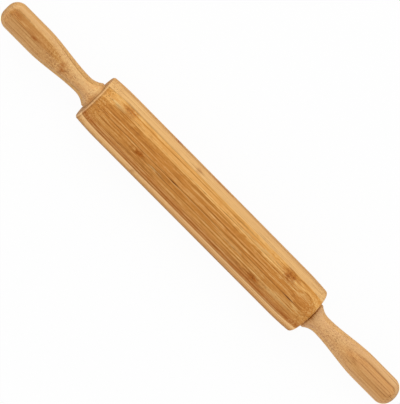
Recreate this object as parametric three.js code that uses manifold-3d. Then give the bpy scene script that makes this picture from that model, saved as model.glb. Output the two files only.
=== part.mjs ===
// A revolving bamboo rolling pin. The roller is glued up from bamboo strips, turned and bored. It runs on a
// steel axle in two nylon bushes, and a handle, glued up and turned the same way, is fixed on each end.
// Millimetres, +Z up. The pin lies along X, and the origin is the middle of the pin, on the axle's axis.
import * as THREE from "three";
import { mergeVertices } from "three/addons/utils/BufferGeometryUtils.js";
import Module from "manifold-3d";

const wasm = await Module();
wasm.setup();

// Roller
const ROLLER_LENGTH = 248;
const ROLLER_DIAMETER = 47;
const CROWN_LENGTH = 22; // the stretch at each end over which the roller falls away
const CROWN_DROP = 1; // what its radius has lost where the edge rounding starts
const ROLLER_EDGE_RADIUS = 2;
const ROLLER_BORE_DIAMETER = 10;

// End play: the roller lies close to the left handle, and the play shows as a gap before the right one
const GAP_LEFT = 0.3;
const GAP_RIGHT = 2.3;

// Lamination: plies stacked along Z, each of strips laid side by side along Y
const PLY_THICKNESS = 10; // the outermost plies are turned down to less
const STRIP_WIDTH = 25;
const ROLLER_PLY_COUNT = 5;
const ROLLER_TOP_PLANE = 16.4; // the highest glue plane: the blank was turned a little off its centre
const ROLLER_JOINT = -1.4; // where the strips of an odd ply meet, half a strip from the joints in an even one
const HANDLE_TOP_PLANE = 6.4;
const HANDLE_JOINT = -0.5; // where the strips meet in a handle's upper and lower plies

// Handle, from its collar outwards
const COLLAR_DIAMETER = 24.8;
const COLLAR_LENGTH = 2.8;
const COLLAR_CHAMFER = 0.4;
const COVE_LENGTH = 10.9; // from the collar to the neck
const NECK_DIAMETER = 16.8;
const TAPER_LENGTH = 50; // from the neck to the grip
const GRIP_DIAMETER = 24.9;
const GRIP_LENGTH = 26;
const TIP_FLAT_DIAMETER = 4.9;

// Axle
const AXLE_DIAMETER = 8;
const AXLE_INSERT = 45; // how far it goes into each handle
const AXLE_CHAMFER = 0.6;
const GLUE_POCKET = 1; // room past the axle's end in the handle's bore
const GLUE_GROOVE_COUNT = 2; // in each end of the axle
const GLUE_GROOVE_WIDTH = 1.5;
const GLUE_GROOVE_DEPTH = 0.4;
const GLUE_GROOVE_PITCH = 14;

// Bushes and washers
const BUSH_DIAMETER = 12;
const BUSH_LENGTH = 16;
const BUSH_FLANGE_DIAMETER = 15.6;
const BUSH_FLANGE_THICKNESS = 1.5;
const WASHER_DIAMETER = 13; // small enough to enter the recess for the flange
const WASHER_THICKNESS = 0.5;

// Clearances
const SEAT_CLEARANCE = 0.1; // round a glued or pressed piece
const RUNNING_CLEARANCE = 0.1; // round the axle in a bush, and on each side of a washer
const WASHER_CLEARANCE = 0.2; // round the axle in a washer

// Flats round each turned piece, and steps along each curve of an outline
const ROLLER_SIDES = 20; // wide enough flats for the pin to lie still on one
const HANDLE_SIDES = 40;
const AXLE_SIDES = 24;
const CROWN_STEPS = 4;
const EDGE_STEPS = 3;
const COVE_STEPS = 4;
const TAPER_STEPS = 7;
const TIP_STEPS = 6;

// Worked out from the above
const rollerRadius = ROLLER_DIAMETER / 2;
const rollerEnd = ROLLER_LENGTH / 2;
const axleRadius = AXLE_DIAMETER / 2;
const rollerMiddle = (GAP_LEFT - GAP_RIGHT) / 2;
const handleStart = rollerEnd + (GAP_LEFT + GAP_RIGHT) / 2;
const tipRound = (GRIP_DIAMETER - TIP_FLAT_DIAMETER) / 2;
const handleLength = COLLAR_LENGTH + COVE_LENGTH + TAPER_LENGTH + GRIP_LENGTH + tipRound;
const flangeSink = WASHER_THICKNESS + 2 * RUNNING_CLEARANCE - GAP_LEFT; // leaves room for the left washer
const clearPast = ROLLER_DIAMETER; // how far a cut runs past what it cuts
const reach = handleStart + handleLength + clearPast; // past everything

// Finishes
function finish(color, roughness, metalness = 0) {
  return new THREE.MeshStandardMaterial({ color, roughness, metalness });
}
const paleBamboo = finish(0xe3b276, 0.5);
const amberBamboo = finish(0xd79c54, 0.5);
const brownBamboo = finish(0xc08342, 0.5);
const handleBamboo = finish(0xd09a60, 0.55);
const steel = finish(0xb8b8ba, 0.35, 1);
const nylon = finish(0xe9e4d6, 0.6);

// A point of a turned outline: its place along X, and its radius
function at(x, radius) {
  return new THREE.Vector2(x, radius);
}

// A closed geometry as a solid that can be joined and cut
function solidOf(geometry) {
  const merged = mergeVertices(geometry.deleteAttribute("normal").deleteAttribute("uv"));
  const corners = merged.index.array;
  const triangles = [];
  for (let i = 0; i < corners.length; i += 3) {
    const [a, b, c] = corners.slice(i, i + 3);
    const flattened = a === b || b === c || c === a; // a lathe leaves these where its outline meets the axis
    if (!flattened) triangles.push(a, b, c);
  }
  const vertProperties = new Float32Array(merged.attributes.position.array);
  const triVerts = new Uint32Array(triangles);
  return new wasm.Manifold(new wasm.Mesh({ numProp: 3, vertProperties, triVerts }));
}

// A solid as a named piece
function pieceOf(name, solid, material) {
  const { vertProperties, triVerts } = solid.getMesh();
  const geometry = new THREE.BufferGeometry();
  geometry.setAttribute("position", new THREE.BufferAttribute(new Float32Array(vertProperties), 3));
  geometry.setIndex(new THREE.BufferAttribute(new Uint32Array(triVerts), 1));
  geometry.computeVertexNormals();
  const mesh = new THREE.Mesh(geometry, material);
  mesh.name = name;
  return mesh;
}

// A solid turned about X. Its flats touch the true round surface, and one of them lies underneath.
function turned(outline, sides) {
  const toCorners = 1 / Math.cos(Math.PI / sides);
  const profile = outline.map((point) => new THREE.Vector2(point.y * toCorners, point.x));
  const lathe = new THREE.LatheGeometry(profile, sides, Math.PI / sides);
  return solidOf(lathe.rotateZ(-Math.PI / 2));
}

// The outline of a left-hand piece, from that of its right-hand twin
function mirrored(outline) {
  return outline.map((point) => at(-point.x, point.y)).reverse();
}

// The outline of a right-hand piece, for either side
function forSide(side, outline) {
  return side === "left" ? mirrored(outline) : outline;
}

// The whole outline of a piece whose two ends are alike, from its right half
function bothEnds(rightHalf) {
  return [...mirrored(rightHalf), ...rightHalf];
}

// The strips of one ply, from front to back: a blank between two heights, split at the joints along Y
function stripsBetween(blank, bottom, top, joints) {
  const sides = [-reach, ...joints, reach];
  return sides.slice(1).map((back, i) => {
    const stock = new THREE.BoxGeometry(2 * reach, back - sides[i], top - bottom);
    return blank.intersect(solidOf(stock.translate(0, (back + sides[i]) / 2, (top + bottom) / 2)));
  });
}

// The roller's outline: straight for most of its length, crowned towards each end, with rounded edges
function rollerOutline() {
  const edgeStart = rollerEnd - ROLLER_EDGE_RADIUS;
  const crownStart = edgeStart - CROWN_LENGTH;
  const edgeRadius = rollerRadius - CROWN_DROP;
  const faceRadius = edgeRadius - ROLLER_EDGE_RADIUS;
  const crown = new THREE.QuadraticBezierCurve(
    at(crownStart, rollerRadius),
    at(crownStart + CROWN_LENGTH / 2, rollerRadius),
    at(edgeStart, edgeRadius),
  );
  const round = ROLLER_EDGE_RADIUS;
  const edge = new THREE.EllipseCurve(edgeStart, faceRadius, round, round, Math.PI / 2, 0, true);
  return bothEnds([
    ...crown.getPoints(CROWN_STEPS),
    ...edge.getPoints(EDGE_STEPS).slice(1),
    at(rollerEnd, 0),
  ]);
}

// What is drilled out of the roller: the axle's bore, a seat for each bush and a recess for each flange
function rollerBoreOutline() {
  const seatRadius = BUSH_DIAMETER / 2 + SEAT_CLEARANCE;
  const recessRadius = BUSH_FLANGE_DIAMETER / 2 + SEAT_CLEARANCE;
  const seatStart = rollerEnd - flangeSink - BUSH_LENGTH - SEAT_CLEARANCE;
  const recessStart = rollerEnd - flangeSink - BUSH_FLANGE_THICKNESS;
  return bothEnds([
    at(seatStart, ROLLER_BORE_DIAMETER / 2),
    at(seatStart, seatRadius),
    at(recessStart, seatRadius),
    at(recessStart, recessRadius),
    at(rollerEnd + clearPast, recessRadius),
    at(rollerEnd + clearPast, 0),
  ]);
}

// The roller's strips, from the top ply down. The strips of an even ply are staggered by half their width.
function rollerStrips() {
  const bored = turned(rollerOutline(), ROLLER_SIDES).subtract(turned(rollerBoreOutline(), AXLE_SIDES));
  const pieces = [];
  let top = reach;
  for (let ply = 1; ply <= ROLLER_PLY_COUNT; ply++) {
    const bottom = ply === ROLLER_PLY_COUNT ? -reach : ROLLER_TOP_PLANE - (ply - 1) * PLY_THICKNESS;
    const staggered = ply % 2 === 0;
    const evenJoints = [ROLLER_JOINT - STRIP_WIDTH / 2, ROLLER_JOINT + STRIP_WIDTH / 2];
    const joints = staggered ? evenJoints : [ROLLER_JOINT];
    const places = staggered ? ["front", "middle", "back"] : ["front", "back"];
    const bamboos = staggered ? [paleBamboo, paleBamboo, paleBamboo] : [brownBamboo, amberBamboo];
    stripsBetween(bored, bottom, top, joints).forEach((strip, i) => {
      pieces.push(pieceOf(`roller_ply_${ply}_${places[i]}_strip`, strip, bamboos[i]));
    });
    top = bottom;
  }
  return pieces;
}

// The bush in one end of the roller. Its flange is sunk, so that the washer can enter the recess before it.
function bush(side) {
  const boreRadius = axleRadius + RUNNING_CLEARANCE;
  const sleeveRadius = BUSH_DIAMETER / 2;
  const flangeRadius = BUSH_FLANGE_DIAMETER / 2;
  const face = rollerEnd - flangeSink;
  const inner = face - BUSH_LENGTH;
  const flangeStart = face - BUSH_FLANGE_THICKNESS;
  const outline = [
    at(inner, boreRadius),
    at(inner, sleeveRadius),
    at(flangeStart, sleeveRadius),
    at(flangeStart, flangeRadius),
    at(face, flangeRadius),
    at(face, boreRadius),
    at(inner, boreRadius),
  ];
  return pieceOf(`bush_${side}`, turned(forSide(side, outline), AXLE_SIDES), nylon);
}

// The washer between a bush and its handle. It lies against the handle.
function washer(side) {
  const far = handleStart - RUNNING_CLEARANCE;
  const near = far - WASHER_THICKNESS;
  const holeRadius = axleRadius + WASHER_CLEARANCE;
  const rimRadius = WASHER_DIAMETER / 2;
  const outline = [
    at(near, holeRadius),
    at(near, rimRadius),
    at(far, rimRadius),
    at(far, holeRadius),
    at(near, holeRadius),
  ];
  return pieceOf(`washer_${side}`, turned(forSide(side, outline), AXLE_SIDES), steel);
}

// The axle, with grooves that key the glue in each handle
function axle() {
  const end = handleStart + AXLE_INSERT;
  const grooveRadius = axleRadius - GLUE_GROOVE_DEPTH;
  const rightHalf = [];
  for (let groove = GLUE_GROOVE_COUNT; groove >= 1; groove--) {
    const middle = end - groove * GLUE_GROOVE_PITCH;
    const near = middle - GLUE_GROOVE_WIDTH / 2;
    const far = middle + GLUE_GROOVE_WIDTH / 2;
    rightHalf.push(at(near, axleRadius), at(near, grooveRadius), at(far, grooveRadius), at(far, axleRadius));
  }
  rightHalf.push(at(end - AXLE_CHAMFER, axleRadius), at(end, axleRadius - AXLE_CHAMFER), at(end, 0));
  return pieceOf("axle", turned(bothEnds(rightHalf), AXLE_SIDES), steel);
}

// The right handle's outline: collar, hollow cove, neck, long taper, straight grip and rounded tip
function handleOutline() {
  const collarRadius = COLLAR_DIAMETER / 2;
  const neckRadius = NECK_DIAMETER / 2;
  const gripRadius = GRIP_DIAMETER / 2;
  const tipFlatRadius = TIP_FLAT_DIAMETER / 2;
  const coveStart = handleStart + COLLAR_LENGTH;
  const neck = coveStart + COVE_LENGTH;
  const gripStart = neck + TAPER_LENGTH;
  const tipStart = gripStart + GRIP_LENGTH;
  const drop = collarRadius - neckRadius;
  const coveRound = (COVE_LENGTH ** 2 + drop ** 2) / (2 * drop);
  const coveCentre = neckRadius + coveRound;
  const coveAngle = Math.atan2(collarRadius - coveCentre, -COVE_LENGTH);
  const cove = new THREE.EllipseCurve(neck, coveCentre, coveRound, coveRound, coveAngle, -Math.PI / 2);
  const taper = new THREE.CubicBezierCurve(
    at(neck, neckRadius),
    at(neck + TAPER_LENGTH / 3, neckRadius),
    at(gripStart - TAPER_LENGTH / 3, gripRadius),
    at(gripStart, gripRadius),
  );
  const tip = new THREE.EllipseCurve(tipStart, tipFlatRadius, tipRound, tipRound, Math.PI / 2, 0, true);
  return [
    at(handleStart, 0),
    at(handleStart, collarRadius - COLLAR_CHAMFER),
    at(handleStart + COLLAR_CHAMFER, collarRadius),
    ...cove.getPoints(COVE_STEPS),
    ...taper.getPoints(TAPER_STEPS).slice(1),
    ...tip.getPoints(TIP_STEPS),
    at(tipStart + tipRound, 0),
  ];
}

// The blind bore that takes the axle's end in the right handle
function handleBoreOutline() {
  const boreRadius = axleRadius + SEAT_CLEARANCE;
  const boreStart = handleStart - clearPast;
  const boreEnd = handleStart + AXLE_INSERT + GLUE_POCKET;
  return [at(boreStart, 0), at(boreStart, boreRadius), at(boreEnd, boreRadius), at(boreEnd, 0)];
}

// A handle's strips: two in its upper and lower plies, and one, drilled for the axle, in its core
function handleStrips(side) {
  const outline = forSide(side, handleOutline());
  const bore = forSide(side, handleBoreOutline());
  const bored = turned(outline, HANDLE_SIDES).subtract(turned(bore, AXLE_SIDES));
  const coreBottom = HANDLE_TOP_PLANE - PLY_THICKNESS;
  const prefix = `handle_${side}`;
  const [upperFront, upperBack] = stripsBetween(bored, HANDLE_TOP_PLANE, reach, [HANDLE_JOINT]);
  const [core] = stripsBetween(bored, coreBottom, HANDLE_TOP_PLANE, []);
  const [lowerFront, lowerBack] = stripsBetween(bored, -reach, coreBottom, [HANDLE_JOINT]);
  return [
    pieceOf(`${prefix}_upper_front_strip`, upperFront, handleBamboo),
    pieceOf(`${prefix}_upper_back_strip`, upperBack, handleBamboo),
    pieceOf(`${prefix}_core_strip`, core, handleBamboo),
    pieceOf(`${prefix}_lower_front_strip`, lowerFront, handleBamboo),
    pieceOf(`${prefix}_lower_back_strip`, lowerBack, handleBamboo),
  ];
}

const roller = new THREE.Group();
roller.position.x = rollerMiddle;
roller.add(...rollerStrips(), bush("left"), bush("right"));

const handles = new THREE.Group();
handles.add(axle(), washer("left"), washer("right"), ...handleStrips("left"), ...handleStrips("right"));

const rollingPin = new THREE.Group();
rollingPin.add(roller, handles);

export default rollingPin;
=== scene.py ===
# %% [markdown]
# A revolving rolling pin of laminated bamboo
#
# The pin has a thick roller, glued up from bamboo strips and turned, that runs on a steel axle between
# two turned handles. The frame holds every piece at its real size, with flats round each turned piece.
# This lesson makes the smooth pieces that stand for them, gives the bamboo its grain, and sets up the
# light and the camera.

# %% Load the frame
import math
from types import SimpleNamespace

import bmesh
import bpy
from mathutils import Matrix, Vector


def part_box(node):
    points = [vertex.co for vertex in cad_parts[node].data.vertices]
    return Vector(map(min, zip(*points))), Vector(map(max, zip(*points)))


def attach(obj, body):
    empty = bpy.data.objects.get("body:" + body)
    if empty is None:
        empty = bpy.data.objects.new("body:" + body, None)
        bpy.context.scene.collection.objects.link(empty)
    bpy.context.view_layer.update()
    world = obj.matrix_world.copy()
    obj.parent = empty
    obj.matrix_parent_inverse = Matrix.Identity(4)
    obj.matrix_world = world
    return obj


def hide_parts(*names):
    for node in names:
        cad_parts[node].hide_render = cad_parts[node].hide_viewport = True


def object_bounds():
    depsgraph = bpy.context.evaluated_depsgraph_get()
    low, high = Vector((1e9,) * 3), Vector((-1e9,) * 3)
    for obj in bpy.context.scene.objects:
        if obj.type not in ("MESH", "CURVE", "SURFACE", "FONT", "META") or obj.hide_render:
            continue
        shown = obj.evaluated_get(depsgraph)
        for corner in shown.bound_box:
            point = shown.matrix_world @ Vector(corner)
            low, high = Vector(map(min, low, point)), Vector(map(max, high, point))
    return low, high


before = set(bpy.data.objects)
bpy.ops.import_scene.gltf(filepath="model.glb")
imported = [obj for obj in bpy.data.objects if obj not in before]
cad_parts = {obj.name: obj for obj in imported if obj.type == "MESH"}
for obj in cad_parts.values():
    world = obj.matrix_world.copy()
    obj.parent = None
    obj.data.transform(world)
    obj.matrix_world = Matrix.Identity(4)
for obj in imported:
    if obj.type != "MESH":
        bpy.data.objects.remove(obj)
cad_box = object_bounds()
scene = bpy.context.scene
MM = 0.001
cad_size = [round(side / MM, 1) for side in cad_box[1] - cad_box[0]]
print("frame of", len(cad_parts), "nodes,", cad_size, "mm")

# %% [markdown]
# Maths on sockets
#
# Both the shapes and the finishes are node trees, and most of what they hold is arithmetic. A small class
# lets Python write it: a Value is one output of a node, and each sum or product of Values adds a Math
# node.

# %% The Value


class Value:
    """One output of a node. Arithmetic on it adds Math nodes to its tree."""

    def __init__(self, socket):
        self.socket = socket

    def math(self, operation, *terms, clamp=False):
        settings = {"operation": operation, "use_clamp": clamp}
        return Bench(self.socket.id_data).add("ShaderNodeMath", settings, dict(enumerate(terms)))

    def other(self, name):
        return Value(self.socket.node.outputs[name])

    def __add__(self, term):
        return self.math("ADD", self, term)

    def __radd__(self, term):
        return self.math("ADD", term, self)

    def __sub__(self, term):
        return self.math("SUBTRACT", self, term)

    def __rsub__(self, term):
        return self.math("SUBTRACT", term, self)

    def __mul__(self, term):
        return self.math("MULTIPLY", self, term)

    def __rmul__(self, term):
        return self.math("MULTIPLY", term, self)

    def __truediv__(self, term):
        return self.math("DIVIDE", self, term)

    def __gt__(self, term):
        return self.math("GREATER_THAN", self, term)

    def __lt__(self, term):
        return self.math("LESS_THAN", self, term)

    def __neg__(self):
        return self.math("MULTIPLY", self, -1)

    def __abs__(self):
        return self.math("ABSOLUTE", self)

    def root(self):
        return self.math("SQRT", self)

    def sine(self):
        return self.math("SINE", self)

    def cosine(self):
        return self.math("COSINE", self)

    def at_least(self, term):
        return self.math("MAXIMUM", self, term)

    def at_most(self, term):
        return self.math("MINIMUM", self, term)

    def between_0_and_1(self):
        return self.math("ADD", self, 0, clamp=True)

    def step(self, low, high):
        """A smooth step from 0 at low to 1 at high."""
        share = ((self - low) / (high - low)).between_0_and_1()
        return share * share * (3 - 2 * share)

    def hump(self, middle, half):
        """A smooth hump, 1 at middle and about a third at half away from it."""
        away = (self - middle) / half
        return self.math("EXPONENT", -(away * away))


print("Value ready")

# %% [markdown]
# Every other node
#
# A Bench is a tree that nodes are added to. All nodes come from one method, add, which takes the node's
# type, its settings and what goes into its sockets, so that a tree reads as a list of what it is made of.

# %% The Bench


class Bench:
    """A node tree to add nodes to."""

    def __init__(self, tree):
        self.tree = tree

    def add(self, kind, settings=None, inputs=None, output=0):
        node = self.tree.nodes.new(kind)
        for name, setting in (settings or {}).items():
            if name == "stops":
                self.fill_ramp(node.color_ramp, setting)
            else:
                setattr(node, name, setting)
        for name, term in (inputs or {}).items():
            for one in term if isinstance(term, list) else [term]:
                if isinstance(one, Value):
                    self.tree.links.new(one.socket, node.inputs[name])
                else:
                    node.inputs[name].default_value = one
        return Value(node.outputs[output]) if node.outputs else None

    def fill_ramp(self, ramp, stops):
        while len(ramp.elements) < len(stops):
            ramp.elements.new(1)
        for element, (place, colour) in zip(ramp.elements, stops):
            element.position = place
            element.color = colour

    def point(self, x, y, z):
        return self.add("ShaderNodeCombineXYZ", {}, {0: x, 1: y, 2: z})

    def parts_of(self, vector):
        x = self.add("ShaderNodeSeparateXYZ", {}, {0: vector})
        return x, x.other("Y"), x.other("Z")

    def mix(self, share, first, second):
        return self.add("ShaderNodeMix", {"data_type": "RGBA"}, {0: share, 6: first, 7: second}, 2)


print("Bench ready")

# %% [markdown]
# A turned skin
#
# A lathe makes a solid of revolution: at each place along the axis the piece has one radius. Blender
# could spin an outline, but a Geometry Nodes tree can follow the turner's rule itself. A grid is rolled
# up into a tube, one row to each station along the pin, and the rule gives the radius there. The first
# and last rows shrink to a point, which shuts the ends.

# %% Trees that turn
SAME_POINT = 0.0001 * MM


def new_tree(name, sockets):
    """A Geometry Nodes tree with named inputs: its bench, and the inputs by name."""
    tree = bpy.data.node_groups.new(name, "GeometryNodeTree")
    tree.interface.new_socket("Geometry", in_out="OUTPUT", socket_type="NodeSocketGeometry")
    for label, kind in sockets.items():
        tree.interface.new_socket(label, in_out="INPUT", socket_type="NodeSocket" + kind)
    bench = Bench(tree)
    first = bench.add("NodeGroupInput")
    return bench, {label: first.other(label) for label in sockets}


def rounded(corner, into):
    """What a rounded corner has taken off the radius, this far into it."""
    return corner - (corner * corner - into * into).at_least(0).root()


def turned_skin(bench, stations, sides, place_of, radius_of, facing=1):
    """A closed skin about X: place_of gives X for a share of the way, and radius_of the radius there."""
    size = {"Size X": 1, "Size Y": 1, "Vertices X": stations, "Vertices Y": sides + 1}
    grid = bench.add("GeometryNodeMeshGrid", {}, size)
    along, around, _ = bench.parts_of(bench.add("GeometryNodeInputPosition"))
    row = (along + 0.5) * (stations - 1)
    share = ((row - 1) / (stations - 3)).between_0_and_1()
    place = place_of(share)
    radius = radius_of(place) * (row > 0.5) * (row < stations - 1.5)
    angle = -2 * math.pi * around
    corner = bench.point(facing * place, facing * radius * angle.cosine(), radius * angle.sine())
    rolled = bench.add("GeometryNodeSetPosition", {}, {"Geometry": grid, "Position": corner})
    return bench.add("GeometryNodeMergeByDistance", {}, {"Geometry": rolled, "Distance": SAME_POINT})


print("trees can turn")

# %% [markdown]
# Sawn strips and drilled holes
#
# The real pin was glued up first and turned afterwards, so each strip is the part of the turned solid
# that lies in that strip's own length of stock. The tree keeps what is in a block, and takes the bores
# away with round cutters.

# %% Trees that saw and drill
DRILL_SIDES = 96


def drill(bench, radius, start, stop):
    """A round cutter along X from start to stop."""
    size = {"Vertices": DRILL_SIDES, "Radius": radius, "Depth": stop - start}
    cutter = bench.add("GeometryNodeMeshCylinder", {}, size)
    middle = bench.point((start + stop) / 2, 0, 0)
    laid = {"Geometry": cutter, "Translation": middle, "Rotation": (0, math.pi / 2, 0)}
    return bench.add("GeometryNodeTransform", {}, laid)


def saw_and_drill(bench, skin, low, high, cutters, material):
    """Ends a tree with the part of a skin inside a block, less what the cutters take."""
    size = bench.add("ShaderNodeVectorMath", {"operation": "SUBTRACT"}, {0: high, 1: low})
    both = bench.add("ShaderNodeVectorMath", {"operation": "ADD"}, {0: low, 1: high})
    middle = bench.add("ShaderNodeVectorMath", {"operation": "SCALE"}, {0: both, "Scale": 0.5})
    cube = bench.add("GeometryNodeMeshCube", {}, {"Size": size})
    stock = bench.add("GeometryNodeTransform", {}, {"Geometry": cube, "Translation": middle})
    sawing = {"operation": "INTERSECT", "solver": "MANIFOLD"}
    sawn = bench.add("GeometryNodeMeshBoolean", sawing, {"Mesh 2": [skin, stock]})
    drilling = {"operation": "DIFFERENCE", "solver": "MANIFOLD"}
    drilled = bench.add("GeometryNodeMeshBoolean", drilling, {"Mesh 1": sawn, "Mesh 2": cutters})
    real = bench.add("GeometryNodeRealizeInstances", {}, {"Geometry": drilled})
    dressed = bench.add("GeometryNodeSetMaterial", {}, {"Geometry": real, "Material": material})
    bench.add("NodeGroupOutput", {}, {"Geometry": dressed})
    return bench.tree


print("trees can saw and drill")

# %% [markdown]
# From a tree to a plain mesh
#
# A finished piece is a plain mesh, so each tree is run on an empty object and its result is copied out.
# Turned faces are shaded smooth, and the edges where a saw or a drill met them stay sharp.

# %% Grow a piece
SMOOTH_UP_TO = math.radians(30)


def placed(name, mesh):
    """A mesh as an object, shaded smooth except across its sharp edges."""
    mesh.name = name
    mesh.shade_smooth()
    mesh.set_sharp_from_angle(angle=SMOOTH_UP_TO)
    piece = bpy.data.objects.new(name, mesh)
    scene.collection.objects.link(piece)
    return piece


def grown(name, tree, sizes):
    """What a tree makes with these sizes, as a plain mesh at the origin."""
    seedling = bpy.data.objects.new(name + "_nodes", bpy.data.meshes.new(name + "_nodes"))
    scene.collection.objects.link(seedling)
    modifier = seedling.modifiers.new("turning", "NODES")
    modifier.node_group = tree
    for item in tree.interface.items_tree:
        if item.in_out == "INPUT":
            modifier[item.identifier] = sizes[item.name]
    graph = bpy.context.evaluated_depsgraph_get()
    mesh = bpy.data.meshes.new_from_object(seedling.evaluated_get(graph), depsgraph=graph)
    bpy.data.objects.remove(seedling)
    return placed(name, mesh)


def stands_for(piece, node, body):
    """Hangs a piece on its body, so that it moves with it, and hides the node it stands for."""
    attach(piece, body)
    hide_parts(node)


print("pieces can be grown")

# %% [markdown]
# The roller's sizes
#
# The roller is straight for most of its length and crowned towards each end, so that its edges don't mark
# the dough, and its edges are rounded. The bore takes the axle, with a wider seat for each bush and a
# recess for the bush's flange. Sizes that a node's box shows are read from it, and the others are written
# down. The roller lies against the left handle, so it is drawn a hair longer there, which leaves only a
# fine line between them.

# %% Measure the roller
HAIR = 0.2 * MM
ROLLER_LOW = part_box("roller_ply_3_front_strip")[0].x - HAIR
ROLLER_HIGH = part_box("roller_ply_3_front_strip")[1].x
ROLLER_MIDDLE = (ROLLER_LOW + ROLLER_HIGH) / 2
ROLLER_HALF = (ROLLER_HIGH - ROLLER_LOW) / 2
ROLLER_RADIUS = cad_box[1].z
CROWN_LENGTH = 22 * MM
CROWN_DROP = 1 * MM
ROLLER_EDGE_RADIUS = 2 * MM
ROLLER_BORE_RADIUS = 5 * MM
SEAT_CLEARANCE = 0.1 * MM
BUSH_LOW, BUSH_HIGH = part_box("bush_right")
BUSH_LENGTH = BUSH_HIGH.x - BUSH_LOW.x
BUSH_FLANGE_RADIUS = BUSH_HIGH.y
BUSH_FLANGE_THICKNESS = 1.5 * MM
BUSH_RADIUS = 6 * MM
FLANGE_SINK = ROLLER_HIGH - BUSH_HIGH.x
ROLLER_SIZES = {
    "Stations": 140,
    "Sides": 192,
    "Middle": ROLLER_MIDDLE,
    "Half Length": ROLLER_HALF,
    "Radius": ROLLER_RADIUS,
    "Crown Length": CROWN_LENGTH,
    "Crown Drop": CROWN_DROP,
    "Edge Radius": ROLLER_EDGE_RADIUS,
    "Bore Radius": ROLLER_BORE_RADIUS,
    "Seat Radius": BUSH_RADIUS + SEAT_CLEARANCE,
    "Seat Depth": FLANGE_SINK + BUSH_LENGTH + SEAT_CLEARANCE + HAIR,
    "Recess Radius": BUSH_FLANGE_RADIUS + SEAT_CLEARANCE,
    "Recess Depth": FLANGE_SINK + BUSH_FLANGE_THICKNESS + HAIR,
}
print("roller", round(2 * ROLLER_HALF / MM, 1), "mm long,", round(2 * ROLLER_RADIUS / MM, 1), "mm thick")

# %% [markdown]
# The roller's shape
#
# All twelve strips come from one tree: only the block that saws them out differs. Stations crowd towards
# the ends, by a sine, because that is where the outline bends.

# %% The roller strip's tree
PAST = 20 * MM


def roller_strip_tree():
    counts = {"Stations": "Int", "Sides": "Int"}
    lengths = [label for label in ROLLER_SIZES if label not in counts]
    corners = {"Low": "Vector", "High": "Vector", "Material": "Material"}
    bench, size = new_tree("roller strip", counts | dict.fromkeys(lengths, "Float") | corners)
    middle = size["Middle"]
    half = size["Half Length"]
    edge = size["Edge Radius"]
    edge_start = half - edge
    crown_start = edge_start - size["Crown Length"]

    def place_of(share):
        return middle + half * ((share - 0.5) * math.pi).sine()

    def radius_of(place):
        out = abs(place - middle)
        crown = ((out - crown_start) / size["Crown Length"]).between_0_and_1()
        into_edge = (out - edge_start).at_least(0)
        return size["Radius"] - size["Crown Drop"] * crown * crown - rounded(edge, into_edge)

    skin = turned_skin(bench, size["Stations"], size["Sides"], place_of, radius_of)
    low_end = middle - half
    high_end = middle + half
    cutters = [drill(bench, size["Bore Radius"], low_end - PAST, high_end + PAST)]
    for hole in ("Seat", "Recess"):
        radius = size[hole + " Radius"]
        depth = size[hole + " Depth"]
        cutters.append(drill(bench, radius, high_end - depth, high_end + PAST))
        cutters.append(drill(bench, radius, low_end - PAST, low_end + depth))
    return saw_and_drill(bench, skin, size["Low"], size["High"], cutters, size["Material"])


roller_strip = roller_strip_tree()
print("roller tree of", len(roller_strip.nodes), "nodes")

# %% [markdown]
# The handles' sizes
#
# A handle starts at its collar, dips through a hollow cove to the neck, swells along a taper into the
# straight grip, and ends in a rounded tip. A blind bore takes the end of the axle.

# %% Measure a handle
HANDLE_LOW, HANDLE_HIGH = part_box("handle_right_core_strip")
AXLE_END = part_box("axle")[1].x
AXLE_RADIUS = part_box("axle")[1].y
GLUE_POCKET = 1 * MM
HANDLE_SIZES = {
    "Stations": 160,
    "Sides": 144,
    "Facing": 1,
    "Start": HANDLE_LOW.x,
    "End": HANDLE_HIGH.x,
    "Collar Radius": 12.4 * MM,
    "Collar Length": 2.8 * MM,
    "Collar Edge": 0.1 * MM,
    "Cove Length": 10.9 * MM,
    "Neck Radius": 8.4 * MM,
    "Taper Length": 50 * MM,
    "Grip Radius": HANDLE_HIGH.y,
    "Tip Flat": 2.45 * MM,
    "Bore Radius": AXLE_RADIUS + SEAT_CLEARANCE,
    "Bore End": AXLE_END + GLUE_POCKET,
}
print("handle", round((HANDLE_HIGH.x - HANDLE_LOW.x) / MM, 1), "mm long")

# %% [markdown]
# The handles' shape
#
# Each stretch of the outline is a short rule for the radius, and the larger or smaller of two rules joins
# them. Both handles come from one tree, the left one turned half round.

# %% The handle strip's tree


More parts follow.
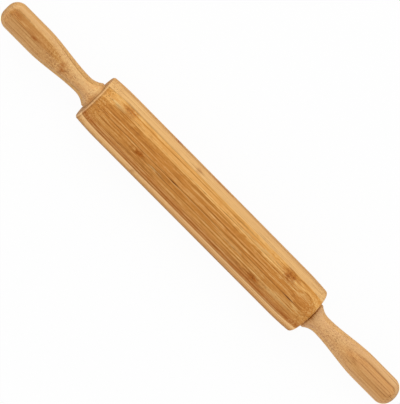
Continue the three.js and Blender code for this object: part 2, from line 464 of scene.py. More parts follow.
def handle_strip_tree():
    counts = {"Stations": "Int", "Sides": "Int"}
    lengths = [label for label in HANDLE_SIZES if label not in counts]
    corners = {"Low": "Vector", "High": "Vector", "Material": "Material"}
    bench, size = new_tree("handle strip", counts | dict.fromkeys(lengths, "Float") | corners)
    start = size["Start"]
    end = size["End"]
    neck = start + size["Collar Length"] + size["Cove Length"]
    drop = size["Collar Radius"] - size["Neck Radius"]
    cove_round = (size["Cove Length"] * size["Cove Length"] + drop * drop) / (2 * drop)
    tip_round = size["Grip Radius"] - size["Tip Flat"]

    def place_of(share):
        return start + (end - start) * (0.5 - 0.5 * (share * math.pi).cosine())

    def radius_of(place):
        cove = size["Neck Radius"] + rounded(cove_round, (neck - place).at_least(0))
        swell = (size["Grip Radius"] - size["Neck Radius"]) * place.step(neck, neck + size["Taper Length"])
        body = cove.at_most(size["Collar Radius"]).at_least(size["Neck Radius"] + swell)
        into_tip = (place - (end - tip_round)).at_least(0)
        into_collar = (start + size["Collar Edge"] - place).at_least(0)
        return body - rounded(tip_round, into_tip) - rounded(size["Collar Edge"], into_collar)

    skin = turned_skin(bench, size["Stations"], size["Sides"], place_of, radius_of, size["Facing"])
    middle = size["Facing"] * (start - PAST + size["Bore End"]) / 2
    half = (size["Bore End"] - start + PAST) / 2
    cutters = [drill(bench, size["Bore Radius"], middle - half, middle + half)]
    return saw_and_drill(bench, skin, size["Low"], size["High"], cutters, size["Material"])


handle_strip = handle_strip_tree()
print("handle tree of", len(handle_strip.nodes), "nodes")

# %% [markdown]
# Colours and noise
#
# Colours are written as they are seen on a screen, and turned into the linear values that Blender mixes.
# Noise gives a soft random field over places in millimetres. Its rates say how fast it changes along each
# axis, so a low first rate draws the field out along the pin.

# %% Colours and noise


def colour(code):
    """A colour as it is seen on a screen, such as e2b177, in linear values."""
    shares = [int(code[i : i + 2], 16) / 255 for i in (0, 2, 4)]
    return (*[s / 12.92 if s <= 0.04045 else ((s + 0.055) / 1.055) ** 2.4 for s in shares], 1)


def place_in_mm(bench):
    """Where a point is on its piece, in millimetres."""
    return [part / MM for part in bench.parts_of(bench.add("ShaderNodeTexCoord", output="Object"))]


def noise(bench, place, rates, seed, detail=2, roughness=0.5, output="Fac"):
    """A soft random field, from 0 to 1 and mostly near a half."""
    where = bench.point(*[part * rate for part, rate in zip(place, rates)])
    inputs = {"Vector": where, "W": seed, "Scale": 1, "Detail": detail, "Roughness": roughness}
    return bench.add("ShaderNodeTexNoise", {"noise_dimensions": "4D"}, inputs, output)


print("colours and noise ready")

# %% [markdown]
# How a finish starts and ends
#
# Every finish starts with an empty tree, and ends with one surface that has a shallow relief. What lies
# between is different for bamboo, steel and nylon.

# %% The start and end of a finish


def new_finish(name):
    """A material with an empty tree, and the bench to fill it at."""
    material = bpy.data.materials.new(name)
    material.use_nodes = True
    material.node_tree.nodes.clear()
    return material, Bench(material.node_tree)


def lay_surface(bench, shine, relief, strength, depth):
    """Ends a finish with a surface of this shine, and a relief of this depth on it."""
    bump = bench.add("ShaderNodeBump", {}, {"Strength": strength, "Distance": depth, "Height": relief})
    surface = bench.add("ShaderNodeBsdfPrincipled", {}, shine | {"Normal": bump})
    bench.add("ShaderNodeOutputMaterial", {}, {"Surface": surface})


print("finishes can be started and ended")

# %% [markdown]
# Marks on a strip
#
# A bamboo culm is closed by a wall at every knuckle. Where a strip crosses one, its fibres swirl, so the
# cut shows a ragged brown stain, with pale and dark flames around it along the grain. Marks are given in
# millimetres. A spot has five figures: its place along and across the pin, how far it reaches each way,
# and its strength. A band goes right round the pin and has two: its place and its reach along the pin.

# %% Masks for marks
RAGGED_LENGTH = 3
RAGGED_WIDTH = 2


def spots(x, y, marks, ragged=0):
    """A mask that has each spot's strength in its middle and fades away from it."""
    mask = 0 * x
    for along, across, half_length, half_width, strength in marks:
        over_x = (x + ragged * RAGGED_LENGTH * half_length).hump(along, half_length)
        over_y = (y + ragged * RAGGED_WIDTH * half_width).hump(across, half_width)
        mask = mask.at_least(over_x * over_y * strength)
    return mask


def bands(x, marks):
    """A mask that is 1 in the middle of each band round the pin and fades away from it."""
    mask = 0 * x
    for along, half_length in marks:
        mask = mask.at_least(x.hump(along, half_length))
    return mask


print("masks ready")

# %% [markdown]
# Glue lines
#
# Plies and strips meet in a film of glue, which shows as a thin brown line, stronger in some places than
# others. Bands say where the line shows between strips and between plies. Where two strips didn't quite
# close, the joint is open, and darker for a few centimetres.

# %% Lines along a strip's sides
GLUE_HALF = 0.45  # millimetres
OPEN_HALF = 0.85  # millimetres
GLUE_PATCHES = (0.02, 0.05, 0.05)
EVERYWHERE = [(0, 1000)]


def glue_lines(bench, place, seed, low, high, marks):
    """Two masks: the glue on the sides of a strip's stock, and the joints left open beside it."""
    x, y, z = place
    from_joint = abs(y - low.y / MM).at_most(abs(y - high.y / MM))
    from_ply = abs(z - low.z / MM).at_most(abs(z - high.z / MM))
    in_joint = bands(x, marks.get("glued joints", EVERYWHERE)) * (1 - from_joint.step(0, GLUE_HALF))
    in_ply = bands(x, marks.get("glued plies", EVERYWHERE)) * (1 - from_ply.step(0, GLUE_HALF))
    patchy = noise(bench, place, GLUE_PATCHES, seed + 6).step(0.3, 0.6)
    gaping = bands(x, marks.get("open joints", ())) * (1 - from_joint.step(0, OPEN_HALF))
    return in_joint.at_least(in_ply) * patchy, gaping


print("glue lines ready")

# %% [markdown]
# Fibre bundles and tones
#
# A bamboo wall is pale, soft tissue with thousands of dark fibre bundles running up the culm. Cut along,
# the bundles show as fine lines. Cut across, as on the end of the roller, they show as dots, and on a
# handle's taper as short dashes. So the finish is solid: bundles are cells of a flat pattern across the
# strip, drawn out along X, and whatever surface cuts them shows the right figure. The wall also changes
# tone from its inner to its outer side. The strips lie flat, so the tone follows the height.

# %% Bundles and tones
BUNDLE_SPACING = 1.15  # millimetres


def fibre_bundles(bench, grain_y, grain_z):
    """Dark dots across the grain, each with its own strength."""
    where = bench.point(grain_y / BUNDLE_SPACING, grain_z / BUNDLE_SPACING, 0)
    inputs = {"Vector": where, "Scale": 1, "Randomness": 0.9}
    cell = bench.add("ShaderNodeTexVoronoi", {"voronoi_dimensions": "2D"}, inputs)
    own, _, _ = bench.parts_of(cell.other("Color"))
    return (1 - cell.step(0.12 + 0.14 * own, 0.34 + 0.16 * own)) * (0.3 + 0.7 * own)


def tone_by_height(bench, height, tones):
    """A ramp of colours over height, from pairs of a height in millimetres and a colour."""
    lowest = tones[0][0]
    span = tones[-1][0] - lowest
    stops = [((level - lowest) / span, colour(code)) for level, code in tones]
    return bench.add("ShaderNodeValToRGB", {"stops": stops}, {"Fac": (height - lowest) / span})


print("bundles and tones ready")

# %% [markdown]
# The run of the grain
#
# Fibres are never quite straight. They wander over a decimetre, swirl inside a knuckle, and rise and fall
# in flames around it. So every point gets a place in a straightened culm, across and up, and the grain is
# drawn there. A small rise or fall moves a tone a long way across the roller's top. A flare is a spot
# where the grain falls and shows pale; one, at the left handle's collar, is painted light. A dip is a band
# where it falls, and its third figure is how far.

# %% Where the grain runs
RAGGED = (0.25, 0.4, 0.2)
WANDER = (0.01, 0.05, 0.05)
FLAME = (0.06, 0.6, 0.3)
SWIRL = (0.2, 0.3, 0.3)
FLAMES_REACH = 6
FLAMES_SPREAD = 2.2
WANDER_ACROSS = 0.8  # millimetres
WANDER_UP = 0.6  # millimetres
SWIRL_ACROSS = 2  # millimetres
FLAME_RISE = 0.4  # millimetres
FLAME_RISE_AT_KNUCKLE = 2.5  # millimetres
FLARE_FALL = 0.6  # millimetres


def grain_run(bench, place, seed, marks):
    """How a strip's grain runs: the spots that bend it, and where each point lies in a straight culm."""
    x, y, z = place
    run = SimpleNamespace()
    run.ragged = noise(bench, place, RAGGED, seed + 3, 3) - 0.5
    knuckles = marks.get("knuckles", ())
    around = [(*at, FLAMES_REACH * long, FLAMES_SPREAD * wide, 1) for *at, long, wide, _ in knuckles]
    run.knuckles = spots(x, y, knuckles, run.ragged)
    run.flames = spots(x, y, around)
    run.flares = spots(x, y, marks.get("flares", ()), run.ragged)
    run.flame = noise(bench, place, FLAME, seed + 5, 3, 0.6) - 0.5
    swirl = noise(bench, place, SWIRL, seed + 7, 1) - 0.5
    across, up, _ = bench.parts_of(noise(bench, place, WANDER, seed, 1, output="Color"))
    rise = run.flame * (FLAME_RISE + FLAME_RISE_AT_KNUCKLE * run.flames)
    run.y = y + (across - 0.5) * WANDER_ACROSS + swirl * run.knuckles * SWIRL_ACROSS
    run.z = z + (up - 0.5) * WANDER_UP + rise - run.flares * FLARE_FALL
    for middle, half_length, depth in marks.get("dips", ()):
        run.z = run.z - x.hump(middle, half_length) * depth
    return run


print("the grain can run")

# %% [markdown]
# The figure of the grain
#
# Lines run the length of a strip, dashes are shorter, and bundles and a mottle give a fine stipple.
# Streaks, dark or pale, are spots drawn out along the strip. Where the lathe cut the fibres at a slant,
# on the crowns, coves and tapers, the lines give way to the stipple. All of it adds up to one field,
# which browns a strip's tone where it is above 0 and pales it where it is below.

# %% Lines, dashes and streaks
FIBRE_BROWN = colour("652d02")
FIBRE_PALE = colour("f6d08c")
LINES = (0.007, 0.7, 0.9)
DASHES = (0.05, 1, 1)
MOTTLE = (0.7, 1, 1)
LINE_CONTRAST = 1.8
DASH_CONTRAST = 1.2
FLAME_CONTRAST = 1.3
FLARE_CONTRAST = 0.45
LOST_AT_SLANT = 0.85
USUAL_BUNDLE = 0.12


def grain_figure(bench, place, run, seed, marks, figure):
    """What shows along a strip's grain, field by field, and how dark it comes to together."""
    x, _, _ = place
    culm = (x, run.y, run.z)
    look = SimpleNamespace()
    look.lines = noise(bench, culm, LINES, seed + 1, 4, 0.8) - 0.5
    look.dashes = noise(bench, culm, DASHES, seed + 2, 3, 0.8) - 0.5
    look.mottle = noise(bench, place, MOTTLE, seed + 8, 2, 0.7) - 0.5
    look.bundle = fibre_bundles(bench, run.y, run.z)
    slanted = bands(x, marks.get("slanted", ()))
    drawn = (look.lines * LINE_CONTRAST + look.dashes * DASH_CONTRAST) * (1 - LOST_AT_SLANT * slanted)
    flamed = run.flame * run.flames * FLAME_CONTRAST
    mottled = look.mottle * (0.4 + 2.2 * slanted)
    stippled = mottled + (look.bundle - USUAL_BUNDLE) * (0.4 - 0.25 * slanted)
    darker = spots(x, run.y, marks.get("dark streaks", ()), run.ragged)
    paler = spots(x, run.y, marks.get("pale streaks", ()), run.ragged)
    look.dark = (drawn + flamed) * figure + stippled + darker - paler
    return look


def figured(bench, run, look, tones):
    """A strip's tone with its figure and its flares."""
    tone = tone_by_height(bench, run.z, tones)
    browned = bench.mix(look.dark.between_0_and_1(), tone, FIBRE_BROWN)
    grained = bench.mix((-look.dark).between_0_and_1(), browned, FIBRE_PALE)
    flared = run.flares * (run.flame + look.lines).step(-0.02, 0.08)
    return bench.mix(flared * FLARE_CONTRAST, grained, FIBRE_PALE)


print("the grain has a figure")

# %% [markdown]
# Knuckles, seams, a painted highlight, ends and painted shade
#
# A knuckle is tanned all over and flecked with brown. Glue and open joints lie over the grain. The
# roller's left edge has a painted highlight, pale cream along its rounding, with a brown line beside it.
# The ends of the fibres take up more dirt than their sides, so a cut end has a tint of its own, given by
# four
# figures: its place, how deep it goes, its strength and its colour. The same four figures also paint
# shade:
# the right handle's collar is painted brown next to the roller, for the shade in the gap between them.

# %% Knuckles, seams, the painted highlight, ends and painted shade
KNUCKLE_BROWN = colour("a85600")
GLUE_BROWN = colour("70400f")
OPEN_BROWN = colour("582000")
# The cream of a painted highlight along the roller's rounded left edge.
RIM_HIGHLIGHT_CREAM = colour("f4d0a0")
BLOTCHES = (0.6, 0.9, 0.5)
TANNED = 0.7
FLECKED = 0.55
GLUED = 0.75
OPENED = 0.9
LINED = 0.3
# How strong the painted highlight is, and how far inside it the brown line runs, in millimetres.
RIM_HIGHLIGHT_STRENGTH = 0.45
RIM_LINE_OFFSET = 1.3  # millimetres
FACE = 0.02  # millimetres


def knuckled(bench, place, run, look, seed, tint):
    """A strip's colour with the stains of its knuckles."""
    blotch = noise(bench, place, BLOTCHES, seed + 4, 2, 0.7) + look.dashes * 0.6
    tanned = bench.mix((run.knuckles * 1.4).between_0_and_1() * TANNED, tint, KNUCKLE_BROWN)
    return bench.mix(run.knuckles * blotch.step(0.48, 0.56) * FLECKED, tanned, FIBRE_BROWN)


def seamed(bench, place, seed, low, high, marks, tint):
    """A strip's colour with its glue lines and open joints."""
    glue, gaping = glue_lines(bench, place, seed, low, high, marks)
    glued = bench.mix(glue * GLUED, tint, GLUE_BROWN)
    return bench.mix((gaping * 1.1).between_0_and_1() * OPENED, glued, OPEN_BROWN)


def with_painted_rim_highlight(bench, x, worn, tint):
    """A strip's colour with a painted highlight along the roller's rounded edge, and a brown line beside
    it.
    """
    lined = bench.mix(bands(x - RIM_LINE_OFFSET, worn) * LINED, tint, FIBRE_BROWN)
    return bench.mix(bands(x, worn) * RIM_HIGHLIGHT_STRENGTH, lined, RIM_HIGHLIGHT_CREAM)


def ended_and_shaded(bench, x, look, ends, tint):
    """A strip's colour with its cut ends and the painted shade given like them, and a mask of both."""
    cut = 0 * x
    for end, depth, strength, end_tint in ends:
        near = (1 - abs(x - end).step(FACE, depth)) * strength
        tint = bench.mix(near * (0.85 + 0.8 * look.bundle + look.mottle), tint, end_tint)
        cut = cut.at_least(near)
    return tint, cut


print("stains ready")

# %% [markdown]
# Bamboo
#
# A strip's finish goes through all of these in turn. It is oiled wood, so it shines little, and least on
# its cut ends. The bundles stand a few hundredths of a millimetre below the tissue between them.

# %% The bamboo finish
OILED = 0.12
RELIEF_STRENGTH = 0.3
RELIEF_DEPTH = 0.05 * MM


def bamboo(name, low, high, tones, seed, marks, figure):
    """Bamboo for a strip sawn from the stock between two corners, with its tones and its marks."""
    material, bench = new_finish(name)
    place = place_in_mm(bench)
    run = grain_run(bench, place, seed, marks)
    look = grain_figure(bench, place, run, seed, marks, figure)
    tint = figured(bench, run, look, tones)
    tint = knuckled(bench, place, run, look, seed, tint)
    tint = seamed(bench, place, seed, low, high, marks, tint)
    tint = with_painted_rim_highlight(bench, place[0], marks.get("worn", ()), tint)
    tint, cut = ended_and_shaded(bench, place[0], look, marks["ends"], tint)
    shine = {
        "Base Color": tint,
        "Roughness": 0.5 + 0.2 * look.lines + 0.1 * look.bundle + 0.4 * cut,
        "Specular IOR Level": OILED,
    }
    lay_surface(bench, shine, look.dashes - look.bundle * 0.6, RELIEF_STRENGTH, RELIEF_DEPTH)
    return material


print("bamboo ready")

# %% [markdown]
# The roller's strips
#
# Five plies lie one on another, with their strips side by side like bricks: two in the first, third and
# fifth ply and three in the others. Each strip comes from its own culm, so each has its own tones, from
# its underside up.

# %% Tones of the roller's strips
ROLLER_TONES = {
    (1, "front"): [(16.4, "c27a32"), (18.6, "b46824"), (20.1, "cb8842"), (22, "ca883f"), (23.6, "c47f35")],
    (1, "back"): [(16.4, "e8ac5c"), (19, "d69140"), (21.3, "e8ac60"), (21.7, "c78539"), (23.6, "c68138")],
    # Towards its low edge, at the roller's lower side, this strip darkens: partly its own tone and partly
    # painted shade.
    (2, "front"): [(7, "bf823c"), (10.5, "c98a40"), (12.5, "e6a964"), (15.4, "fdc888"), (17, "f9b970")],
    (2, "middle"): [(6, "dcaa68"), (17, "d8a25e")],
    # This strip's darker tone at its low edge, at the side of the roller, is painted shade.
    (2, "back"): [(6, "d49d5c"), (9, "e7b371"), (17, "eab878")],
    (3, "front"): [(-4, "c68a46"), (2, "bb7c3a"), (7, "ca9050")],
    (3, "back"): [(-4, "dba052"), (1, "d19244"), (7, "dea65c")],
    (4, "front"): [(-14, "deac6c"), (-8, "d8a260"), (-3, "e2b070")],
    (4, "middle"): [(-14, "d8a25e"), (-3, "dca866")],
    (4, "back"): [(-14, "e2b06e"), (-3, "dea660")],
    (5, "front"): [(-24, "c07e3a"), (-19, "ba7634"), (-13, "c88c48")],
    (5, "back"): [(-24, "c8863c"), (-21, "da9a4a"), (-13, "dea458")],
}
print(len(ROLLER_TONES), "strips")

# %% [markdown]
# Marks on the roller's strips
#
# A strip has a knuckle every 20 or 30 centimetres, so most strips of the roller show one or two. The
# marks on top follow the photograph one by one, and those on the other sides are made up in the same
# manner.

# %% Marks of the roller's strips
ROLLER_MARKS = {
    (1, "front"): {
        "knuckles": [(-69.6, -4.7, 4, 2.4, 0.8), (66.3, -10.6, 4.5, 1.8, 0.9)],
        "flares": [
            (-52, -5.5, 9, 1.8, 1),
            (37, -4.6, 9, 1.8, 1),
            (64, -4.4, 10, 2, 1),
            (90, -7.5, 15, 2.6, 1),
            (108, -4, 10, 2.6, 1),
        ],
        "dark streaks": [
            (-50, -4.8, 25, 1.4, 0.36),
            (-70, -10.5, 45, 1.4, 0.32),
            (50, -10.5, 14, 1.4, 0.34),
        ],
        "pale streaks": [(-98, -7.6, 14, 1.4, 0.34), (35, -7.6, 35, 1.4, 0.22), (-8, 0.8, 40, 1.3, 0.24)],
    },
    (1, "back"): {
        "knuckles": [(-97.7, 13.8, 5.5, 3.4, 0.6), (88, 12.4, 6.5, 4.6, 0.9)],
        "flares": [(-111, 12.2, 7, 3, 1.5), (52, 12.6, 24, 2.6, 1)],
        "dark streaks": [
            (-116, 8.6, 10, 1.5, 0.2),
            (-58, 6.2, 30, 1.4, 0.24),
            (-26, 9, 40, 1.4, 0.38),
            (45, 11.5, 28, 1.5, 0.3),
            (33, 14.2, 20, 1.4, 0.3),
        ],
        "pale streaks": [
            (-35, 11.5, 60, 1.5, 0.26),
            (-8, 0.8, 40, 1.3, 0.24),
            (78, 9, 40, 1.5, 0.38),
            (78, 6.2, 24, 1.4, 0.28),
            (54, 16.7, 15, 1.5, 0.4),
        ],
        "glued plies": [(-65, 65)],
        "dips": [(111, 12, -1.5)],
    },
    (2, "front"): {
        "knuckles": [(-62.5, -19.3, 1.8, 1.5, 0.35)],
        "pale streaks": [(-85, -19.7, 48, 1.6, 0.34)],
    },
    (2, "back"): {"knuckles": [(-24.9, 19.3, 2.6, 2.6, 0.28)], "glued plies": [(-65, 65)]},
    (3, "front"): {"knuckles": [(35, -23, 3, 6, 0.8)]},
    (3, "back"): {"knuckles": [(-52, 23, 3, 6, 0.8), (-3, 22.7, 14, 0.4, 0.9)]},
    (4, "front"): {"knuckles": [(-84, -20, 3, 4, 0.6)]},
    (4, "back"): {"knuckles": [(58, 20, 3, 4, 0.6)]},
    (5, "front"): {"knuckles": [(14, -9, 5, 5, 0.9)], "flares": [(48, -8, 16, 3, 1)]},
    (5, "back"): {"knuckles": [(-38, 10, 4, 5, 0.8), (104, 8, 4, 4, 0.7)], "flares": [(-8, 9, 14, 3, 1)]},
}
OPEN_JOINTS = {1: [(-33.5, 5), (98.5, 6)], 5: [(-70, 8), (31, 6)]}
CROWNS = [(-119, 5), (118, 5)]
print(sum(len(marks["knuckles"]) for marks in ROLLER_MARKS.values()), "knuckles")

# %% [markdown]
# Saw the roller's strips
#
# A strip's stock is its node's box, made larger on the sides that the lathe turned away.

# %% Make the roller's strips
END_GRAIN = colour("7a4f28")
# A painted highlight along the roller's rounded left edge.
ROLLER_PAINTED_RIM_HIGHLIGHT = [(ROLLER_LOW / MM + 0.5, 0.6)]
ROLLER_ENDS = [(ROLLER_LOW / MM, 0.5, 0.36, END_GRAIN), (ROLLER_HIGH / MM, 0.3, 0.36, END_GRAIN)]
PLY_COUNT = max(ply for ply, _ in ROLLER_TONES)
ODD_PLY_FIGURE = 1.4
EVEN_PLY_FIGURE = 0.85
SEED_STEP = 10


def roller_stock(ply, place):
    """The lowest and highest corner of a strip's stock."""
    low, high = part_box(f"roller_ply_{ply}_{place}_strip")
    low -= Vector((PAST, PAST if place == "front" else 0, PAST if ply == PLY_COUNT else 0))
    high += Vector((PAST, PAST if place == "back" else 0, PAST if ply == 1 else 0))
    return low, high


roller_pieces = []
for (ply, place), tones in ROLLER_TONES.items():
    low, high = roller_stock(ply, place)
    marks = ROLLER_MARKS.get((ply, place), {}) | {"slanted": CROWNS, "ends": ROLLER_ENDS}
    # The painted highlight of the left edge goes on the first ply and on the front strips.
    marks["worn"] = ROLLER_PAINTED_RIM_HIGHLIGHT if ply == 1 or place == "front" else ()
    marks["open joints"] = OPEN_JOINTS.get(ply, ())
    figure = ODD_PLY_FIGURE if ply % 2 else EVEN_PLY_FIGURE
    seed = SEED_STEP * len(roller_pieces)
    name = f"roller_strip_{ply}_{place}"
    grain = bamboo("bamboo_" + name, low, high, tones, seed, marks, figure)
    strip = grown(name, roller_strip, ROLLER_SIZES | {"Low": low, "High": high, "Material": grain})
    stands_for(strip, f"roller_ply_{ply}_{place}_strip", "roller")
    roller_pieces.append(strip)
roller_faces = sum(len(piece.data.polygons) for piece in roller_pieces)
print(len(roller_pieces), "strips,", roller_faces, "faces")

# %% [markdown]
# The handles' strips
#
# A handle is thinner, so three plies make it: two strips side by side above and below, and one strip
# between them that the axle's bore runs through.

# %% Tones and marks of the handles' strips
LEFT_CORE_TONES = [(-4, "d4a060"), (7, "daa562")]
RIGHT_CORE_TONES = [(-4, "dca866"), (7, "e6b072")]
LOWER_FRONT_TONES = [(-13, "c08848"), (-8, "d09c5c"), (-3, "daa868")]
LOWER_BACK_TONES = [(-13, "ca924e"), (-8, "d8a462"), (-3, "deac6c")]
HANDLE_TONES = {
    ("left", "upper_front"): [(6, "d4a674"), (9, "d69e61"), (11.5, "c58f56"), (13, "c28b50")],
    ("left", "upper_back"): [
        (6, "e2a96a"),
        (8, "deae75"),
        (10.2, "d49d5e"),
        (10.7, "c38846"),
        (13, "be8246"),
    ],
    ("left", "core"): LEFT_CORE_TONES,
    ("left", "lower_front"): LOWER_FRONT_TONES,
    ("left", "lower_back"): LOWER_BACK_TONES,
    ("right", "upper_front"): [(6, "daa673"), (10, "d8a166"), (11.8, "ca9155"), (13, "d29a60")],
    ("right", "upper_back"): [(6, "e9b680"), (9.5, "dba86f"), (11.2, "d39658"), (13, "d29a60")],
    ("right", "core"): RIGHT_CORE_TONES,
    ("right", "lower_front"): LOWER_FRONT_TONES,
    ("right", "lower_back"): LOWER_BACK_TONES,
}
# Painted shade: the brown of the gap between the roller and the right handle's collar.
GAP_SHADE_BROWN = colour("a8641e")
TIP = HANDLE_HIGH.x / MM
COLLAR = HANDLE_LOW.x / MM
HANDLE_MARKS = {
    "left": {
        "glued joints": [(-205, 14)],
        "glued plies": (),
        "slanted": [(-158, 24), (-129, 5)],
        "dips": [(-127, 7, 3)],
        "ends": [(-TIP, 4, 0.3, END_GRAIN)],
    },
    "right": {
        "glued joints": [(215, 12)],
        "glued plies": [(215, 12)],
        "slanted": [(150, 24)],
        "dips": [(127, 7, 3)],
        # The first entry paints shade on the right collar's first 1.7 mm and on its face, next to the
        # roller.
        "ends": [(COLLAR, 1.7, 0.9, GAP_SHADE_BROWN), (TIP, 4, 0.3, END_GRAIN)],
    },
}
STRIP_MARKS = {
    ("left", "upper_front"): {"knuckles": [(-160, -3.6, 2.4, 3.2, 0.65), (-192.8, -0.8, 3, 0.8, 0.6)]},
    ("left", "upper_back"): {
        "knuckles": [(-161.5, 0.8, 2.4, 2, 0.65), (-192.8, -0.2, 3, 0.8, 0.6), (-214, 3, 5, 2, 0.4)],
        # The second flare is painted light: it pales the collar next to the roller, where the roller's end
        # shades it.
        "flares": [(-192, 7, 16, 1.2, 1), (-128.5, 6, 5, 6, 1.2)],
        "glued plies": [(-162, 42)],
        "pale streaks": [(-146, 5.6, 18, 3.5, 0.36)],
    },
    ("left", "core"): {"glued plies": [(-162, 42)]},
    ("left", "lower_back"): {"knuckles": [(-192, 4, 3, 5, 0.7)]},
    ("right", "lower_front"): {"knuckles": [(206, -4, 3, 5, 0.7)]},
}
print(len(HANDLE_TONES), "handle strips")

# %% [markdown]
# Saw the handles' strips
#
# As on the roller, a strip's stock is its node's box, made larger on the sides that the lathe turned
# away. The marks of a whole handle come first, and a strip's own take their place where it has some of
# the same sort.

# %% Make the handles' strips
HANDLE_FIGURE = 0.72
HANDLE_SEEDS = 200


def handle_stock(side, strip):
    """The lowest and highest corner of a strip's stock."""
    low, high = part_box(f"handle_{side}_{strip}_strip")
    low -= Vector((PAST, 0 if "back" in strip else PAST, PAST if "lower" in strip else 0))
    high += Vector((PAST, 0 if "front" in strip else PAST, PAST if "upper" in strip else 0))
    return low, high


handle_pieces = []
for (side, strip), tones in HANDLE_TONES.items():
    low, high = handle_stock(side, strip)
    facing = -1 if side == "left" else 1
    marks = HANDLE_MARKS[side] | STRIP_MARKS.get((side, strip), {})
    seed = HANDLE_SEEDS + SEED_STEP * len(handle_pieces)
    name = f"handle_{side}_{strip}"
    grain = bamboo("bamboo_" + name, low, high, tones, seed, marks, HANDLE_FIGURE)
    sizes = HANDLE_SIZES | {"Facing": facing, "Low": low, "High": high, "Material": grain}
    piece = grown(name, handle_strip, sizes)
    stands_for(piece, f"handle_{side}_{strip}_strip", "handles")
    handle_pieces.append(piece)
handle_faces = sum(len(piece.data.polygons) for piece in handle_pieces)
print(len(handle_pieces), "handle strips,", handle_faces, "faces")

# %% [markdown]
# Steel and nylon
#
# The axle is ground steel, so its scratches run round it: a noise that is fine along X and coarse across
# it. The washers are stamped from sheet and duller. The bushes are moulded nylon, cream and faintly
# pebbled.

# %% Finishes of the axle, washers and bushes
SCRATCHES = (9, 0.25, 0.25)
PATCHES = (0.12, 0.3, 0.3)
PEBBLES = (4, 4, 4)
CLOUDS = (0.2, 0.2, 0.2)
SCRATCH_SEED, PATCH_SEED, PEBBLE_SEED, CLOUD_SEED = range(31, 35)


def steel(name, light, dark, roughness):
    """Steel in two tints, scratched round the axis."""
    material, bench = new_finish(name)
    place = place_in_mm(bench)
    scratches = noise(bench, place, SCRATCHES, SCRATCH_SEED, 3)
    patches = noise(bench, place, PATCHES, PATCH_SEED, 3)
    shine = {
        "Base Color": bench.mix(patches.step(0.35, 0.7), light, dark),
        "Metallic": 1.0,
        "Roughness": roughness + 0.25 * (scratches - 0.5) + 0.15 * (patches - 0.5),
    }
    lay_surface(bench, shine, scratches, 0.15, 0.02 * MM)
    return material


def nylon(name):
    """Moulded nylon, pebbled and faintly clouded."""
    material, bench = new_finish(name)
    place = place_in_mm(bench)
    pebbles = noise(bench, place, PEBBLES, PEBBLE_SEED)
    clouds = noise(bench, place, CLOUDS, CLOUD_SEED)
    shine = {
        "Base Color": bench.mix(clouds.step(0.3, 0.7), colour("eee9dc"), colour("e2dac6")),
        "Roughness": 0.45 + 0.3 * (pebbles - 0.5),
    }
    lay_surface(bench, shine, pebbles, 0.2, 0.03 * MM)
    return material


axle_steel = steel("axle_steel", colour("c9c9cb"), colour("b4b4b8"), 0.28)
washer_steel = steel("washer_steel", colour("bdbdbf"), colour("a4a4a8"), 0.4)
bush_nylon = nylon("bush_nylon")
print("steel and nylon ready")

# %% [markdown]
# The axle, bushes and washers
#
# These are small turned pieces with sharp steps, so they are spun from their outlines, point by point,
# and their outer edges are then bevelled, as a file or a mould leaves them.

# %% Spin an outline
SPUN_SIDES = 96
SHARP_FROM = math.radians(25)
BEVEL_STEPS = 2


def spun(name, outline, bevel, material):
    """A piece turned about X from points of place and radius: a loop, or a line from axis to axis."""
    work = bmesh.new()
    turns = [2 * math.pi * side / SPUN_SIDES for side in range(SPUN_SIDES)]
    rows = [[work.verts.new((x, r * math.cos(t), r * math.sin(t))) for x, r in outline] for t in turns]
    meets_axis = outline[0][1] == 0
    for side in range(SPUN_SIDES):
        here = rows[side - 1]
        there = rows[side]
        for corner in range(1 if meets_axis else 0, len(outline)):
            work.faces.new((here[corner - 1], here[corner], there[corner], there[corner - 1]))
    bmesh.ops.remove_doubles(work, verts=work.verts, dist=SAME_POINT)
    bmesh.ops.recalc_face_normals(work, faces=work.faces)
    edges = [edge for edge in work.edges if edge.is_convex and edge.calc_face_angle() > SHARP_FROM]
    bmesh.ops.bevel(work, geom=edges, offset=bevel, segments=BEVEL_STEPS, profile=0.5, affect="EDGES")
    mesh = bpy.data.meshes.new(name)
    work.to_mesh(mesh)
    work.free()
    mesh.materials.append(material)
    return placed(name, mesh)


print("outlines can be spun")

# %% [markdown]
# The axle
#
# It runs the whole way through the roller and into both handles. Two grooves in each end key the glue.

# %% Make the axle
AXLE_CHAMFER = 0.6 * MM
GROOVE_HALF = 0.75 * MM
GROOVE_DEPTH = 0.4 * MM
GROOVE_PITCH = 14 * MM
GROOVES_PER_END = 2
FINE_BEVEL = 0.1 * MM

groove_places = [AXLE_END - GROOVE_PITCH * (count + 1) for count in range(GROOVES_PER_END)]
chamfer_start = AXLE_END - AXLE_CHAMFER
end_radius = AXLE_RADIUS - AXLE_CHAMFER
axle_outline = [(-AXLE_END, 0), (-AXLE_END, end_radius), (-chamfer_start, AXLE_RADIUS)]
for middle in sorted(groove_places + [-place for place in groove_places]):
    near = middle - GROOVE_HALF
    far = middle + GROOVE_HALF
    floor_radius = AXLE_RADIUS - GROOVE_DEPTH
    axle_outline += [(near, AXLE_RADIUS), (near, floor_radius), (far, floor_radius), (far, AXLE_RADIUS)]
axle_outline += [(chamfer_start, AXLE_RADIUS), (AXLE_END, end_radius), (AXLE_END, 0)]
axle = spun("axle_rod", axle_outline, FINE_BEVEL, axle_steel)
stands_for(axle, "axle", "handles")
print("axle", round(2 * AXLE_END / MM, 1), "mm long, with", 2 * GROOVES_PER_END, "grooves")

# %% [markdown]
# Bushes and washers
#
# A bush is a sleeve with a flange at the roller's face, and the roller turns on the axle in two of them.
# A washer beside each flange keeps the roller off the handle.

# %% Make the bushes and washers
RUNNING_CLEARANCE = 0.1 * MM
WASHER_CLEARANCE = 0.2 * MM
BUSH_BEVEL = 0.2 * MM

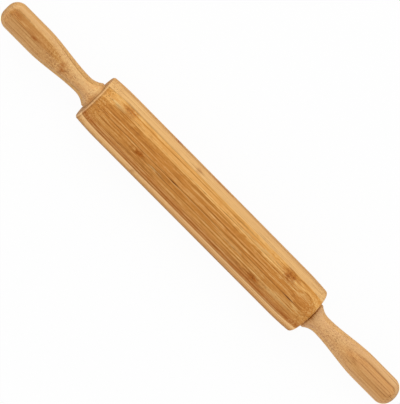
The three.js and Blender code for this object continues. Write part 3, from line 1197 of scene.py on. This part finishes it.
for facing, side in ((-1, "left"), (1, "right")):
    low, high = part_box(f"bush_{side}")
    face = high.x if facing == 1 else low.x
    inner = face - facing * BUSH_LENGTH
    shoulder = face - facing * BUSH_FLANGE_THICKNESS
    bore = AXLE_RADIUS + RUNNING_CLEARANCE
    sleeve = [(inner, bore), (inner, BUSH_RADIUS), (shoulder, BUSH_RADIUS)]
    flange = [(shoulder, BUSH_FLANGE_RADIUS), (face, BUSH_FLANGE_RADIUS), (face, bore)]
    bush = spun(f"bush_sleeve_{side}", sleeve + flange, BUSH_BEVEL, bush_nylon)
    stands_for(bush, f"bush_{side}", "roller")

    low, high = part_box(f"washer_{side}")
    hole = AXLE_RADIUS + WASHER_CLEARANCE
    ring = [(low.x, hole), (low.x, high.y), (high.x, high.y), (high.x, hole)]
    washer = spun(f"washer_ring_{side}", ring, FINE_BEVEL, washer_steel)
    stands_for(washer, f"washer_{side}", "handles")
    print(side, "bush with its face at", round(face / MM, 1), "mm, washer at", round(low.x / MM, 1), "mm")

# %% [markdown]
# The stage
#
# A white sheet stands for the floor. To the camera it mostly glows, so that it is white with only a trace
# of shadow, and to everything else it is plain white paper, which throws light back under the pin.

# %% Make the floor
FLOOR_LEVEL = cad_box[0].z
FLOOR_REACH = 30
FLOOR_GLOW = 0.95


def seen_directly(bench):
    """1 for rays from the camera, also by way of a mirror or glass."""
    path = bench.add("ShaderNodeLightPath", output="Is Camera Ray")
    return path.at_least(path.other("Is Glossy Ray")).at_least(path.other("Is Transmission Ray"))


def floor_finish():
    material, bench = new_finish("floor")
    paper = bench.add("ShaderNodeBsdfDiffuse", {}, {"Color": (0.9, 0.9, 0.9, 1)})
    glow = bench.add("ShaderNodeEmission", {}, {"Color": (1, 1, 1, 1), "Strength": 1})
    shown = bench.add("ShaderNodeMixShader", {}, {0: FLOOR_GLOW, 1: paper, 2: glow})
    lit = bench.add("ShaderNodeMixShader", {}, {0: seen_directly(bench), 1: paper, 2: shown})
    under = bench.add("ShaderNodeNewGeometry", output="Backfacing")
    clear = bench.add("ShaderNodeBsdfTransparent")
    surface = bench.add("ShaderNodeMixShader", {}, {0: under, 1: lit, 2: clear})
    bench.add("ShaderNodeOutputMaterial", {}, {"Surface": surface})
    return material


sheet = bmesh.new()
bmesh.ops.create_grid(sheet, x_segments=1, y_segments=1, size=FLOOR_REACH)
bmesh.ops.translate(sheet, verts=sheet.verts, vec=(0, 0, FLOOR_LEVEL))
floor_mesh = bpy.data.meshes.new("floor")
sheet.to_mesh(floor_mesh)
sheet.free()
floor_mesh.materials.append(floor_finish())
floor = bpy.data.objects.new("floor", floor_mesh)
scene.collection.objects.link(floor)
print("floor at", round(FLOOR_LEVEL / MM, 1), "mm")

# %% [markdown]
# Light
#
# The pin lies in soft light from everywhere, as in a white tent, with one large softbox that stands at
# the back and to the left. The world is white to the camera and a little dimmer as a light.

# %% Make the light
WORLD_LIGHT = 0.8
KEY_PLACE = Vector((-1.1, 1.2, 1.5))
KEY_SIZE = 1.4
KEY_POWER = 12

scene.view_settings.view_transform = "Standard"
world = bpy.data.worlds.new("studio")
scene.world = world
world.use_nodes = True
world.node_tree.nodes.clear()
tent = Bench(world.node_tree)
strength = WORLD_LIGHT + (1 - WORLD_LIGHT) * seen_directly(tent)
sky = tent.add("ShaderNodeBackground", {}, {"Color": (1, 1, 1, 1), "Strength": strength})
tent.add("ShaderNodeOutputWorld", {}, {"Surface": sky})

lamp = bpy.data.lights.new("key", "AREA")
lamp.shape = "DISK"
lamp.size = KEY_SIZE
lamp.energy = KEY_POWER
key = bpy.data.objects.new("key", lamp)
key.location = KEY_PLACE
key.rotation_mode = "QUATERNION"
key.rotation_quaternion = (-KEY_PLACE).to_track_quat("-Z", "Y")
scene.collection.objects.link(key)
print("key light", round(KEY_PLACE.length, 2), "m away")

# %% [markdown]
# The camera
#
# The photograph looks down on the pin with a long lens, from a little beyond its left end and its back,
# and the pin runs down the picture from left to right. The camera's three directions are worked out from
# those angles.

# %% Make the camera
CAMERA_DISTANCE = 1.85
LENS = 203.3
TILT = math.radians(8.2)
TURN = math.radians(5.3)
PIN_ANGLE = math.radians(45.25)
PIXELS_PER_METRE = 1233.5
MIDDLE_RIGHT = 3.33 / PIXELS_PER_METRE
MIDDLE_DOWN = 4.16 / PIXELS_PER_METRE

back = Vector((-math.sin(TILT), math.cos(TILT) * math.sin(TURN), math.cos(TILT) * math.cos(TURN)))
along = (Vector((1, 0, 0)) - back * back.x).normalized()
beside = back.cross(along)
right = along * math.cos(PIN_ANGLE) + beside * math.sin(PIN_ANGLE)
up = beside * math.cos(PIN_ANGLE) - along * math.sin(PIN_ANGLE)
aim = up * MIDDLE_DOWN - right * MIDDLE_RIGHT
eye = bpy.data.cameras.new("camera")
eye.lens = LENS
eye.clip_end = 100
camera = bpy.data.objects.new("camera", eye)
turn = Matrix((right, up, back)).transposed().to_4x4()
camera.matrix_world = Matrix.Translation(aim + back * CAMERA_DISTANCE) @ turn
scene.collection.objects.link(camera)
scene.camera = camera
print("camera at", [round(part, 3) for part in camera.matrix_world.translation])
